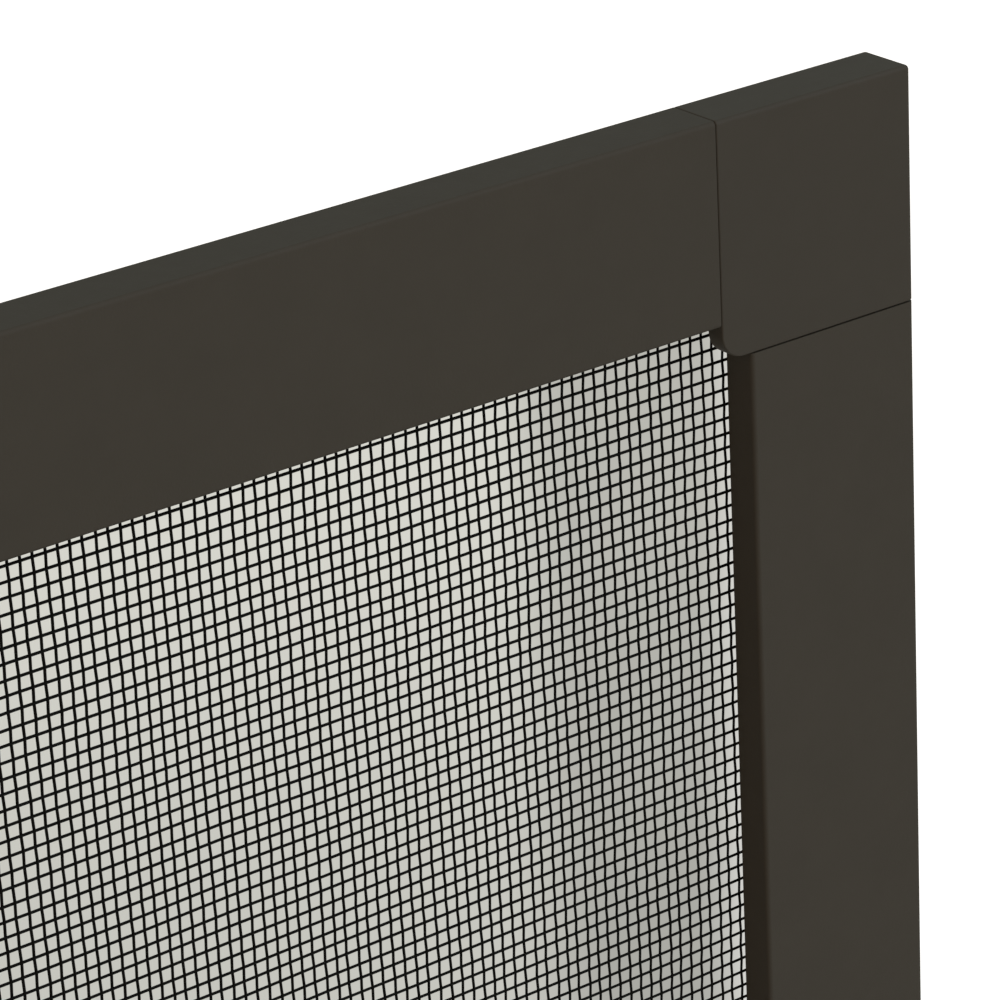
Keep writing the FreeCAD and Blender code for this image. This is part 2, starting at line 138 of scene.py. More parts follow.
class StageSettings(bpy.types.PropertyGroup):
    """Camera, lamps, floor and backdrop."""

    camera_place: FloatVectorProperty(
        name="Camera place", description="Camera measured from the upper right corner of the outdoor face",
        subtype="XYZ", unit="LENGTH", size=3, default=(-0.29759, -0.33691, 0.14511))
    azimuth: FloatProperty(name="Azimuth", description="Turn of the view from +Y towards +X",
                           subtype="ANGLE", default=math.radians(35.66))
    elevation: FloatProperty(name="Elevation", description="How far the camera looks down",
                             subtype="ANGLE", default=math.radians(23.26))
    roll: FloatProperty(name="Roll", description="Tilt of the picture, clockwise",
                        subtype="ANGLE", default=math.radians(3.05))
    lens: FloatProperty(name="Lens", description="Focal length on a 36 mm sensor, in millimetres",
                        default=160.78)
    key_power: FloatProperty(name="Key lamp", description="Power of the large lamp", unit="POWER",
                             default=36.0)
    key_colour: colour_property("Key colour", "Colour of the large lamp", "#D9EDFF")
    sky: FloatProperty(name="Sky", description="Strength of the even light from all round", default=0.47)
    sky_near: colour_property("Near sky", "Colour of the even light from the camera's side", "#FFD3AA")
    sky_far: colour_property("Far sky", "Colour of the even light from beyond the object", "#F1FFFC")
    floor: colour_property("Floor", "Pale painted floor", "#F2F2F0")
    floor_lift: FloatProperty(name="Floor lift", description="Light added where the camera sees the floor",
                              default=0.72)
    shade: colour_property("Shade", "Soft shade on the floor beyond the cloth", "#C5C6C1")


def add_node(tree, kind, settings=None, inputs=None):
    """A node with its settings, and a value, a socket or another node's first output for each input."""
    node = tree.nodes.new(kind)
    for name, value in (settings or {}).items():
        setattr(node, name, value)
    for key, value in (inputs or {}).items():
        if isinstance(value, bpy.types.Node):
            value = value.outputs[0]
        if isinstance(value, bpy.types.NodeSocket):
            tree.links.new(value, node.inputs[key])
        else:
            node.inputs[key].default_value = value
    return node


def new_material(name):
    """An empty material with its node tree."""
    material = bpy.data.materials.new(name)
    material.use_nodes = True
    material.node_tree.nodes.clear()
    return material, material.node_tree


# Range that a noise texture's values mostly keep to
NOISE_RANGE = (0.3, 0.7)
# How far a finish strays from its colour, as a share, and from its roughness
TINT_SPREAD = 0.025
SHEEN_SPREAD = 0.015
# Refractive index of paint, plastic and vinyl
COAT_IOR = 1.5


def speckle(tree, place, millimetres, low, high):
    """Noise whose grains are that many millimetres wide, spread between two values."""
    noise = add_node(tree, "ShaderNodeTexNoise", {"noise_dimensions": "3D"},
                     {"Vector": place, "Scale": 1 / (millimetres * MM), "Detail": 2.0})
    return add_node(tree, "ShaderNodeMapRange", {},
                    {"Value": noise, "From Min": NOISE_RANGE[0], "From Max": NOISE_RANGE[1],
                     "To Min": low, "To Max": high})


def coated_surface(name, colour, roughness, level, patch, grain, depth):
    """Opaque finish: large soft patches, and a fine relief of that grain and depth, in millimetres."""
    material, tree = new_material(name)
    place = add_node(tree, "ShaderNodeTexCoord").outputs["Object"]
    shade = speckle(tree, place, patch, 1 - TINT_SPREAD, 1 + TINT_SPREAD)
    tinted = add_node(tree, "ShaderNodeVectorMath", {"operation": "SCALE"},
                      {0: colour[:3], "Scale": shade})
    sheen = speckle(tree, place, patch / 3, roughness - SHEEN_SPREAD, roughness + SHEEN_SPREAD)
    relief = speckle(tree, place, grain, 0.0, 1.0)
    bump = add_node(tree, "ShaderNodeBump", {}, {"Height": relief, "Distance": depth * MM, "Strength": 1.0})
    shader = add_node(tree, "ShaderNodeBsdfPrincipled", {},
                      {"Base Color": tinted, "Roughness": sheen, "Normal": bump,
                       "Specular IOR Level": level, "IOR": COAT_IOR})
    add_node(tree, "ShaderNodeOutputMaterial", {}, {"Surface": shader})
    return material


def finish_nodes(names, material):
    """Give the carried-over solids their material."""
    for name in names:
        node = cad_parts[name]
        for slot in node.material_slots:
            slot.material = material
        if not node.material_slots:
            node.data.materials.append(material)


def add_piece(name, mesh):
    """A finished piece that rides on the frame."""
    piece = bpy.data.objects.new(name, mesh)
    bpy.context.scene.collection.objects.link(piece)
    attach(piece, BODY)
    return piece


class SCREEN_OT_finish_bars(bpy.types.Operator):
    """Powder-coat the four aluminium bars"""

    bl_idname = "insect_screen.finish_bars"
    bl_label = "Finish bars"

    def execute(self, context):
        colour = context.scene.screen_finish.bar
        # Baked powder coat on extruded aluminium: matte, with a fine orange peel
        coat = coated_surface("baked_matte_powder_coat", colour, roughness=0.7, level=0.3,
                              patch=6.0, grain=0.35, depth=0.005)
        finish_nodes(BARS, coat)
        return {"FINISHED"}


class SCREEN_OT_finish_corners(bpy.types.Operator):
    """Give the four corners their moulded plastic"""

    bl_idname = "insect_screen.finish_corners"
    bl_label = "Finish corners"

    def execute(self, context):
        colour = context.scene.screen_finish.corner
        # Injection-moulded ABS dyed in the mass: a little smoother than the coat, with an etched grain
        plastic = coated_surface("moulded_dyed_abs", colour, roughness=0.66, level=0.3,
                                 patch=9.0, grain=0.25, depth=0.003)
        finish_nodes(CORNERS, plastic)
        return {"FINISHED"}


# Named inputs of the weave's node tree: name, kind of socket, default
WEAVE_INPUTS = (
    ("First Crossing", "NodeSocketVector", (0.0, 0.0, 0.0)),
    ("First Index", "NodeSocketInt", 0),
    ("Uprights", "NodeSocketInt", 10),
    ("Levels", "NodeSocketInt", 10),
    ("Across", "NodeSocketFloat", 1.4 * MM),
    ("Up", "NodeSocketFloat", 1.7 * MM),
    ("Reach Down", "NodeSocketFloat", 1.0 * MM),
    ("Reach Up", "NodeSocketFloat", 1.0 * MM),
    ("Reach Left", "NodeSocketFloat", 0.7 * MM),
    ("Reach Right", "NodeSocketFloat", 0.7 * MM),
    ("Thread", "NodeSocketFloat", 0.3 * MM),
    ("Crimp", "NodeSocketFloat", 0.1 * MM),
    ("Jitter", "NodeSocketFloat", 0.0),
    ("Drift", "NodeSocketFloat", 0.0),
    ("Drift Size", "NodeSocketFloat", 40 * MM),
    ("Cloth Middle", "NodeSocketVector", (0.0, 0.0, 0.0)),
    ("Cloth Half Size", "NodeSocketVector", (0.1, 0.0, 0.1)),
    ("Fade", "NodeSocketFloat", 6 * MM),
    ("Seed", "NodeSocketInt", 0),
    ("Material", "NodeSocketMaterial", None),
)
# Straight parts of a level thread in a panel, and sides of a thread's section
LEVEL_STEPS = 8
THREAD_SIDES = 4
# One seed for the level threads of all panels, so that each thread runs on from panel to panel
LEVEL_SEED = 1000


def thread_along(tree, line, section, normal):
    """Closed thread of that section along a line of points."""
    curve = add_node(tree, "GeometryNodeMeshToCurve", {}, {"Mesh": line})
    turned = add_node(tree, "GeometryNodeSetCurveNormal", {"mode": "FREE"},
                      {"Curve": curve, "Normal": normal})
    return add_node(tree, "GeometryNodeCurveToMesh", {},
                    {"Curve": turned, "Profile Curve": section, "Fill Caps": True})


def spread_threads(tree, given, copy, count, step, axis, turn, seed):
    """Copies of a thread, a step apart along an axis, each a little off its place."""
    index = add_node(tree, "GeometryNodeInputIndex")
    steps = add_node(tree, "ShaderNodeCombineXYZ", {}, {axis: step})
    row = add_node(tree, "GeometryNodeMeshLine", {"mode": "OFFSET"},
                   {"Count": count, "Start Location": given["First Crossing"], "Offset": steps})
    throw = add_node(tree, "FunctionNodeRandomValue", {"data_type": "FLOAT"},
                     {2: -1.0, 3: 1.0, "ID": index, "Seed": seed})
    off = add_node(tree, "ShaderNodeMath", {"operation": "MULTIPLY"},
                   {0: throw.outputs[1], 1: given["Jitter"]})
    moves = add_node(tree, "ShaderNodeCombineXYZ", {}, {axis: off})
    moved = add_node(tree, "GeometryNodeSetPosition", {}, {"Geometry": row, "Offset": moves})
    turns = add_node(tree, "ShaderNodeCombineXYZ", {}, {"Z": turn})
    return add_node(tree, "GeometryNodeInstanceOnPoints", {},
                    {"Points": moved, "Instance": copy, "Rotation": turns})


def upright_threads(tree, given, section):
    """Threads with a point at each crossing, thrown to the front and the back in turn."""
    index = add_node(tree, "GeometryNodeInputIndex")
    start = add_node(tree, "ShaderNodeMath", {"operation": "MULTIPLY"}, {0: given["Up"], 1: -1.0})
    points = add_node(tree, "GeometryNodeMeshLine", {"mode": "OFFSET"},
                      {"Count": add_node(tree, "ShaderNodeMath", {"operation": "ADD"},
                                         {0: given["Levels"], 1: 2.0}),
                       "Start Location": add_node(tree, "ShaderNodeCombineXYZ", {}, {"Z": start}),
                       "Offset": add_node(tree, "ShaderNodeCombineXYZ", {}, {"Z": given["Up"]})})

    # The two end points come back to where the fold holds the thread
    steps = add_node(tree, "ShaderNodeMath", {"operation": "SUBTRACT"}, {0: given["Levels"], 1: 1.0})
    rise = add_node(tree, "ShaderNodeMath", {"operation": "MULTIPLY"}, {0: steps, 1: given["Up"]})
    lowest = add_node(tree, "ShaderNodeMath", {"operation": "MULTIPLY"}, {0: given["Reach Down"], 1: -1.0})
    highest = add_node(tree, "ShaderNodeMath", {"operation": "ADD"}, {0: rise, 1: given["Reach Up"]})
    place = add_node(tree, "ShaderNodeSeparateXYZ", {}, {0: add_node(tree, "GeometryNodeInputPosition")})
    kept = add_node(tree, "ShaderNodeClamp", {},
                    {"Value": place.outputs["Z"], "Min": lowest, "Max": highest})

    # A point of even number swings by -1 times the crimp, and one of odd number by 1
    odd = add_node(tree, "ShaderNodeMath", {"operation": "MODULO"}, {0: index, 1: 2.0})
    side = add_node(tree, "ShaderNodeMath", {"operation": "MULTIPLY_ADD"}, {0: odd, 1: 2.0, 2: -1.0})
    swing = add_node(tree, "ShaderNodeMath", {"operation": "MULTIPLY"}, {0: given["Crimp"], 1: side})
    zigzag = add_node(tree, "GeometryNodeSetPosition", {},
                      {"Geometry": points,
                       "Position": add_node(tree, "ShaderNodeCombineXYZ", {}, {"Y": swing, "Z": kept})})
    thread = thread_along(tree, zigzag, section, (1.0, 0.0, 0.0))

    # Every second thread of the whole cloth is turned round
    number = add_node(tree, "ShaderNodeMath", {"operation": "ADD"}, {0: index, 1: given["First Index"]})
    second = add_node(tree, "ShaderNodeMath", {"operation": "MODULO"}, {0: number, 1: 2.0})
    turn = add_node(tree, "ShaderNodeMath", {"operation": "MULTIPLY"}, {0: second, 1: math.pi})
    return spread_threads(tree, given, thread, given["Uprights"], given["Across"], "X", turn, given["Seed"])


def level_threads(tree, given, section):
    """Nearly straight threads from side to side."""
    gaps = add_node(tree, "ShaderNodeMath", {"operation": "SUBTRACT"}, {0: given["Uprights"], 1: 1.0})
    run = add_node(tree, "ShaderNodeMath", {"operation": "MULTIPLY"}, {0: gaps, 1: given["Across"]})
    longer = add_node(tree, "ShaderNodeMath", {"operation": "ADD"}, {0: run, 1: given["Reach Left"]})
    whole = add_node(tree, "ShaderNodeMath", {"operation": "ADD"}, {0: longer, 1: given["Reach Right"]})
    step = add_node(tree, "ShaderNodeMath", {"operation": "DIVIDE"}, {0: whole, 1: float(LEVEL_STEPS)})
    start = add_node(tree, "ShaderNodeMath", {"operation": "MULTIPLY"}, {0: given["Reach Left"], 1: -1.0})
    points = add_node(tree, "GeometryNodeMeshLine", {"mode": "OFFSET"},
                      {"Count": LEVEL_STEPS + 1,
                       "Start Location": add_node(tree, "ShaderNodeCombineXYZ", {}, {"X": start}),
                       "Offset": add_node(tree, "ShaderNodeCombineXYZ", {}, {"X": step})})
    thread = thread_along(tree, points, section, (0.0, 0.0, 1.0))
    return spread_threads(tree, given, thread, given["Levels"], given["Up"], "Z", 0.0, LEVEL_SEED)


def drift_offset(tree, given):
    """Slow wandering in the cloth's plane, which fades out at the four edges that the fold holds."""
    place = add_node(tree, "GeometryNodeInputPosition")
    scale = add_node(tree, "ShaderNodeMath", {"operation": "DIVIDE"}, {0: 1.0, 1: given["Drift Size"]})
    noise = add_node(tree, "ShaderNodeTexNoise", {"noise_dimensions": "3D"},
                     {"Vector": place, "Scale": scale, "Detail": 1.0})
    centred = add_node(tree, "ShaderNodeVectorMath", {"operation": "SUBTRACT"},
                       {0: noise.outputs["Color"], 1: (0.5, 0.5, 0.5)})
    from_middle = add_node(tree, "ShaderNodeVectorMath", {"operation": "SUBTRACT"},
                           {0: place, 1: given["Cloth Middle"]})
    distance = add_node(tree, "ShaderNodeVectorMath", {"operation": "ABSOLUTE"}, {0: from_middle})
    room = add_node(tree, "ShaderNodeVectorMath", {"operation": "SUBTRACT"},
                    {0: given["Cloth Half Size"], 1: distance})
    inside = add_node(tree, "ShaderNodeSeparateXYZ", {}, {0: room}).outputs
    nearest = add_node(tree, "ShaderNodeMath", {"operation": "MINIMUM"}, {0: inside["X"], 1: inside["Z"]})
    share = add_node(tree, "ShaderNodeMath", {"operation": "DIVIDE"}, {0: nearest, 1: given["Fade"]})
    held = add_node(tree, "ShaderNodeClamp", {}, {"Value": share})
    amount = add_node(tree, "ShaderNodeMath", {"operation": "MULTIPLY"}, {0: given["Drift"], 1: held})
    amounts = add_node(tree, "ShaderNodeCombineXYZ", {}, {"X": amount, "Z": amount})
    return add_node(tree, "ShaderNodeVectorMath", {"operation": "MULTIPLY"}, {0: centred, 1: amounts})


def weave_tree():
    """Node tree of a woven panel: zigzag upright threads over level threads."""
    tree = bpy.data.node_groups.new("plain_weave", "GeometryNodeTree")
    tree.is_modifier = True
    for name, kind, default in WEAVE_INPUTS:
        socket = tree.interface.new_socket(name=name, in_out="INPUT", socket_type=kind)
        if default is not None:
            socket.default_value = default
    tree.interface.new_socket(name="Geometry", in_out="OUTPUT", socket_type="NodeSocketGeometry")
    given = add_node(tree, "NodeGroupInput").outputs
    radius = add_node(tree, "ShaderNodeMath", {"operation": "MULTIPLY"}, {0: given["Thread"], 1: 0.5})
    section = add_node(tree, "GeometryNodeCurvePrimitiveCircle", {"mode": "RADIUS"},
                       {"Resolution": THREAD_SIDES, "Radius": radius})
    both = add_node(tree, "GeometryNodeJoinGeometry")
    tree.links.new(upright_threads(tree, given, section).outputs[0], both.inputs[0])
    tree.links.new(level_threads(tree, given, section).outputs[0], both.inputs[0])
    real = add_node(tree, "GeometryNodeRealizeInstances", {}, {"Geometry": both})
    wandered = add_node(tree, "GeometryNodeSetPosition", {},
                        {"Geometry": real, "Offset": drift_offset(tree, given)})
    smooth = add_node(tree, "GeometryNodeSetShadeSmooth", {}, {0: wandered})
    dressed = add_node(tree, "GeometryNodeSetMaterial", {},
                       {"Geometry": smooth, "Material": given["Material"]})
    add_node(tree, "NodeGroupOutput", {}, {"Geometry": dressed})
    return tree


def grown_mesh(tree, values, name):
    """Plain mesh that a node tree gives for these input values."""
    carrier = bpy.data.objects.new(name, bpy.data.meshes.new(name))
    bpy.context.scene.collection.objects.link(carrier)
    modifier = carrier.modifiers.new(tree.name, "NODES")
    modifier.node_group = tree
    for item in tree.interface.items_tree:
        if item.in_out == "INPUT":
            modifier[item.identifier] = values[item.name]
    view = bpy.context.evaluated_depsgraph_get()
    mesh = bpy.data.meshes.new_from_object(carrier.evaluated_get(view), depsgraph=view)
    bpy.data.objects.remove(carrier)
    if not mesh.polygons:
        raise RuntimeError(f"{name} came out empty")
    return mesh


def thread_material(colour):
    """Vinyl-coated glass yarn: near black, satin, with the coat's faint unevenness."""
    return coated_surface("vinyl_coated_glass_yarn", colour, roughness=0.6, level=0.1,
                          patch=3.0, grain=0.15, depth=0.004)


class SCREEN_OT_weave_cloth(bpy.types.Operator):
    """Weave the cloth between the four folds, in panels of whole upright threads"""

    bl_idname = "insect_screen.weave_cloth"
    bl_label = "Weave cloth"

    def execute(self, context):
        cloth = context.scene.screen_cloth
        channel = context.scene.screen_channel
        fold_middle = BAR_WIDTH - channel.lip_wall - cloth.clearance - cloth.fold / 2
        left, low = FRAME_LOW.x + fold_middle, FRAME_LOW.z + fold_middle
        right, top = FRAME_HIGH.x - fold_middle, FRAME_HIGH.z - fold_middle
        level = FRAME_LOW.y + channel.cloth_level + cloth.thickness / 2
        per_panel = round((right - left) / cloth.across / cloth.panels)
        levels = int((top - low - cloth.top_gap) / cloth.up) + 1
        side_reach = (right - left - (per_panel * cloth.panels - 1) * cloth.across) / 2
        bottom_gap = top - low - cloth.top_gap - (levels - 1) * cloth.up
        material = thread_material(cloth.colour)
        tree = weave_tree()
        tuck = self.tuck_length(channel, cloth)
        for panel in range(cloth.panels):
            first, last = panel == 0, panel == cloth.panels - 1
            reach_left = side_reach if first else cloth.across / 2
            reach_right = side_reach if last else cloth.across / 2
            start = left + side_reach + panel * per_panel * cloth.across
            values = {
                "First Crossing": (start, level, low + bottom_gap),
                "First Index": panel * per_panel,
                "Uprights": per_panel,
                "Levels": levels,
                "Across": cloth.across,
                "Up": cloth.up,
                "Reach Down": bottom_gap,
                "Reach Up": cloth.top_gap,
                "Reach Left": reach_left,
                "Reach Right": reach_right,
                "Thread": cloth.thread,
                "Crimp": cloth.crimp,
                "Jitter": cloth.jitter,
                "Drift": cloth.drift,
                "Drift Size": cloth.drift_size,
                "Cloth Middle": ((left + right) / 2, level, (low + top) / 2),
                "Cloth Half Size": ((right - left) / 2, 0.0, (top - low) / 2),
                "Fade": cloth.fade,
                "Seed": panel,
                "Material": material,
            }
            name = f"woven_cloth_{panel + 1}"
            piece = add_piece(name, grown_mesh(tree, values, name))
            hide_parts("screen_cloth")
            width = reach_left + (per_panel - 1) * cloth.across + reach_right
            width += tuck if first or last else 0
        return {"FINISHED"}

    @staticmethod
    def tuck_length(channel, cloth):
        """Cloth that each edge takes down, under and up in the channel."""
        floor = channel.groove_floor + cloth.clearance + cloth.fold / 2
        drop = channel.cloth_level + cloth.thickness / 2 - floor
        under = channel.groove_width - 2 * cloth.clearance - cloth.fold
        return drop + under + channel.cloth_level - floor


# Straight parts of the fold's line in a corner of the frame, and of each rounding of its section
CORNER_STEPS = 10
ROUNDING_STEPS = 4
# Tones of the folded cloth between its threads and on them, darker between them as painted shade, and the
# threads' height in millimetres
FOLD_PAINTED_SHADE_TONES = (0.5, 1.1)
FOLD_RELIEF = 0.1


def frame_ring(near, depth, turn_centre):
    """Points round the frame at one distance from its edge, with rounded corners."""
    radius = turn_centre - near
    points = []
    for quarter, (side, end) in enumerate(((1, -1), (1, 1), (-1, 1), (-1, -1))):
        x = side * (FRAME_HIGH.x - turn_centre)
        z = FRAME_HIGH.z - turn_centre if end > 0 else FRAME_LOW.z + turn_centre
        for step in range(CORNER_STEPS + 1):
            angle = math.radians(90 * (quarter - 1 + step / CORNER_STEPS))
            points.append(Vector((x + radius * math.cos(angle), FRAME_LOW.y + depth,
                                  z + radius * math.sin(angle))))
    return points


def rounded_profile(corners):
    """Closed outline whose corners (near, depth, radius) are rounded."""
    outline = []
    for index, (near, depth, radius) in enumerate(corners):
        here = Vector((near, depth))
        before, after = (Vector(corners[(index + way) % len(corners)][:2]) for way in (-1, 1))
        if not radius:
            outline.append(here)
            continue
        start = here + (before - here).normalized() * radius
        end = here + (after - here).normalized() * radius
        for step in range(ROUNDING_STEPS + 1):
            part = step / ROUNDING_STEPS
            outline.append(start * (1 - part) ** 2 + here * 2 * part * (1 - part) + end * part ** 2)
    return outline


class SCREEN_OT_fold_edge(bpy.types.Operator):
    """Fold the cloth's edge down, under and up in the spline channel"""

    bl_idname = "insect_screen.fold_edge"
    bl_label = "Fold cloth edge"

    def execute(self, context):
        cloth = context.scene.screen_cloth
        channel = context.scene.screen_channel
        inner = BAR_WIDTH - channel.lip_wall - cloth.clearance
        outer = BAR_WIDTH - channel.lip_wall - channel.groove_width + cloth.clearance
        floor = channel.groove_floor + cloth.clearance
        back = channel.cloth_level + cloth.thickness
        wall = cloth.fold
        turn_centre = (inner + outer) / 2 + channel.spline_bend
        profile = rounded_profile([
            (inner, back, wall / 2),
            (inner, floor, wall),
            (outer, floor, wall),
            (outer, channel.cloth_level, wall / 3),
            (outer + wall, channel.cloth_level, wall / 3),
            (outer + wall, floor + wall, wall / 2),
            (inner - wall, floor + wall, wall / 2),
            (inner - wall, back, wall / 3),
        ])
        shape = bmesh.new()
        rings = [[shape.verts.new(point) for point in frame_ring(near, depth, turn_centre)]
                 for near, depth in profile]
        lengthwise = shape.loops.layers.uv.new("cloth")
        across = [0.0]
        for here, there in zip(profile, profile[1:] + profile[:1]):
            across.append(across[-1] + (there - here).length)
        count = len(rings[0])
        along = [0.0]
        for step in range(count):
            along.append(along[-1] + (rings[0][(step + 1) % count].co - rings[0][step].co).length)
        for row, ring in enumerate(rings):
            upper = rings[(row + 1) % len(rings)]
            for step in range(count):
                nxt = (step + 1) % count
                face = shape.faces.new((ring[step], ring[nxt], upper[nxt], upper[step]))
                face.smooth = True
                corners = ((step, row), (step + 1, row), (step + 1, row + 1), (step, row + 1))
                for loop, (place, line) in zip(face.loops, corners):
                    loop[lengthwise].uv = (along[place], across[line])
        bmesh.ops.recalc_face_normals(shape, faces=shape.faces)
        mesh = bpy.data.meshes.new("cloth_fold")
        shape.to_mesh(mesh)
        shape.free()
        mesh.materials.append(self.fold_material(cloth))
        piece = add_piece("cloth_fold", mesh)
        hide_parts("screen_cloth")
        return {"FINISHED"}

    @staticmethod
    def fold_material(cloth):
        """The same cloth pressed flat: its threads stand up as a small square relief, with painted shade
        between them.
        """
        material, tree = new_material("folded_vinyl_coated_cloth")
        place = add_node(tree, "ShaderNodeUVMap", {"uv_map": "cloth"}).outputs["UV"]
        # A wave texture's band is pi / 10 wide at a scale of 1
        threads = [add_node(tree, "ShaderNodeTexWave", {"bands_direction": way},
                            {"Vector": place, "Scale": math.pi / 10 / spacing}).outputs["Fac"]
                   for way, spacing in (("X", cloth.across), ("Y", cloth.up))]
        relief = add_node(tree, "ShaderNodeMath", {"operation": "MAXIMUM"}, {0: threads[0], 1: threads[1]})
        # Painted shade: the cloth is darker where the relief is low, between the threads, and a little
        # lighter on them
        shade = add_node(tree, "ShaderNodeMapRange", {},
                         {"Value": relief, "To Min": FOLD_PAINTED_SHADE_TONES[0], "To Max": FOLD_PAINTED_SHADE_TONES[1]})
        tinted = add_node(tree, "ShaderNodeVectorMath", {"operation": "SCALE"},
                          {0: cloth.colour[:3], "Scale": shade})
        bump = add_node(tree, "ShaderNodeBump", {},
                        {"Height": relief, "Distance": FOLD_RELIEF * MM, "Strength": 1.0})
        shader = add_node(tree, "ShaderNodeBsdfPrincipled", {},
                          {"Base Color": tinted, "Roughness": 0.5, "Normal": bump, "IOR": COAT_IOR})
        add_node(tree, "ShaderNodeOutputMaterial", {}, {"Surface": shader})
        return material


class SCREEN_OT_finish_spline(bpy.types.Operator):
    """Give the ribbed spline its extruded vinyl"""

    bl_idname = "insect_screen.finish_spline"
    bl_label = "Finish spline"

    def execute(self, context):
        colour = context.scene.screen_finish.spline
        # Extruded soft vinyl: satin, smooth along the ribs, with a faint bloom
        vinyl = coated_surface("extruded_soft_vinyl", colour, roughness=0.42, level=0.5,
                               patch=5.0, grain=0.4, depth=0.006)
        finish_nodes(("spline",), vinyl)
        return {"FINISHED"}


class SCREEN_OT_finish_tabs(bpy.types.Operator):
    """Give the pull tabs their flexible vinyl"""

    bl_idname = "insect_screen.finish_tabs"
    bl_label = "Finish pull tabs"

    def execute(self, context):
        colour = context.scene.screen_finish.tab
        # Calendered flexible vinyl: soft satin with a fine leather-like grain
        vinyl = coated_surface("calendered_flexible_vinyl", colour, roughness=0.4, level=0.5,
                               patch=4.0, grain=0.3, depth=0.008)
        finish_nodes(TABS, vinyl)
        return {"FINISHED"}


# Half the floor's side, and the key lamp's distance, side and direction from the frame's middle
FLOOR_HALF = 6.0
KEY_DISTANCE = 2.5
KEY_SIZE = 2.5
KEY_AZIMUTH = math.radians(-30)
KEY_ELEVATION = math.radians(42)
# Level direction from the camera past the object, along which the sky and the shade change
AWAY = (0.58, 0.81, 0.0)
# Corners of the soft shade on the floor, as X and Y in metres, and the width of its soft edge
SHADE_CORNERS = ((-0.19, 0.0), (0.18, 0.0), (1.048, 1.064), (-0.474, 1.064))
SHADE_EDGE = 0.045
# The shade's darker right side, across AWAY, and darker near side, along it: reach in metres, and tone
SHADE_RIGHT = (0.148, 0.112)
SHADE_RIGHT_TONE = 0.71
SHADE_NEAR = (0.8, 1.2)
SHADE_NEAR_TONE = 0.82
# Half the band, as a cosine to AWAY, over which the sky goes from its near to its far tone
SKY_BLEND = 0.6
# Width in millimetres of the sensor that the lens is given for
SENSOR_WIDTH = 36.0


def flat_piece(name, corners, material):
    """A four-cornered piece of the stage."""
    mesh = bpy.data.meshes.new(name)
    mesh.from_pydata(corners, [], [range(4)])
    mesh.materials.append(material)
    piece = bpy.data.objects.new(name, mesh)
    bpy.context.scene.collection.objects.link(piece)
    return piece


def soft_area(tree, place, corners, edge):
    """Mask that is 1 inside a convex outline on the floor and fades out over its edge."""
    mask = 1.0
    for here, there in zip(corners, corners[1:] + corners[:1]):
        along = (Vector(there) - Vector(here)).normalized()
        inward = Vector((-along.y, along.x, 0.0))
        reach = add_node(tree, "ShaderNodeVectorMath", {"operation": "DOT_PRODUCT"}, {0: place, 1: inward})
        start = inward.x * here[0] + inward.y * here[1]
        side = add_node(tree, "ShaderNodeMapRange", {"interpolation_type": "SMOOTHSTEP"},
                        {"Value": reach.outputs["Value"], "From Min": start - edge / 2,
                         "From Max": start + edge / 2})
        mask = add_node(tree, "ShaderNodeMath", {"operation": "MULTIPLY"}, {0: mask, 1: side})
    return mask


def deeper(tree, place, axis, reach, tone):
    """Tone that goes smoothly to 1 between two distances along an axis of the floor."""
    distance = add_node(tree, "ShaderNodeVectorMath", {"operation": "DOT_PRODUCT"}, {0: place, 1: axis})
    return add_node(tree, "ShaderNodeMapRange", {"interpolation_type": "SMOOTHSTEP"},
                    {"Value": distance.outputs["Value"], "From Min": reach[0], "From Max": reach[1],
                     "To Min": tone, "To Max": 1.0})


def floor_material(stage):
    """Pale painted floor, lifted to white for the camera, with a soft shade beyond the cloth."""
    material, tree = new_material("pale_painted_floor")
    place = add_node(tree, "ShaderNodeTexCoord").outputs["Object"]
    path = add_node(tree, "ShaderNodeLightPath")
    seen = path.outputs["Is Camera Ray"]
    across = (AWAY[1], -AWAY[0], 0.0)
    tone = add_node(tree, "ShaderNodeMath", {"operation": "MULTIPLY"},
                    {0: deeper(tree, place, across, SHADE_RIGHT, SHADE_RIGHT_TONE),
                     1: deeper(tree, place, AWAY, SHADE_NEAR, SHADE_NEAR_TONE)})
    shade = add_node(tree, "ShaderNodeVectorMath", {"operation": "SCALE"},
                     {0: stage.shade[:3], "Scale": tone})
    mask = add_node(tree, "ShaderNodeMath", {"operation": "MULTIPLY"},
                    {0: soft_area(tree, place, SHADE_CORNERS, SHADE_EDGE), 1: seen})
    look = add_node(tree, "ShaderNodeMix", {"data_type": "RGBA"},
                    {"Factor": mask, 6: (1.0, 1.0, 1.0, 1.0), 7: shade})
    paint = add_node(tree, "ShaderNodeVectorMath", {"operation": "MULTIPLY"},
                     {0: stage.floor[:3], 1: look.outputs[2]})
    matte = add_node(tree, "ShaderNodeBsdfDiffuse", {}, {"Color": paint})
    strength = add_node(tree, "ShaderNodeMath", {"operation": "MULTIPLY"}, {0: seen, 1: stage.floor_lift})
    lift = add_node(tree, "ShaderNodeEmission", {}, {"Color": look.outputs[2], "Strength": strength})
    total = add_node(tree, "ShaderNodeAddShader", {}, {0: matte, 1: lift})
    add_node(tree, "ShaderNodeOutputMaterial", {}, {"Surface": total})
    return material


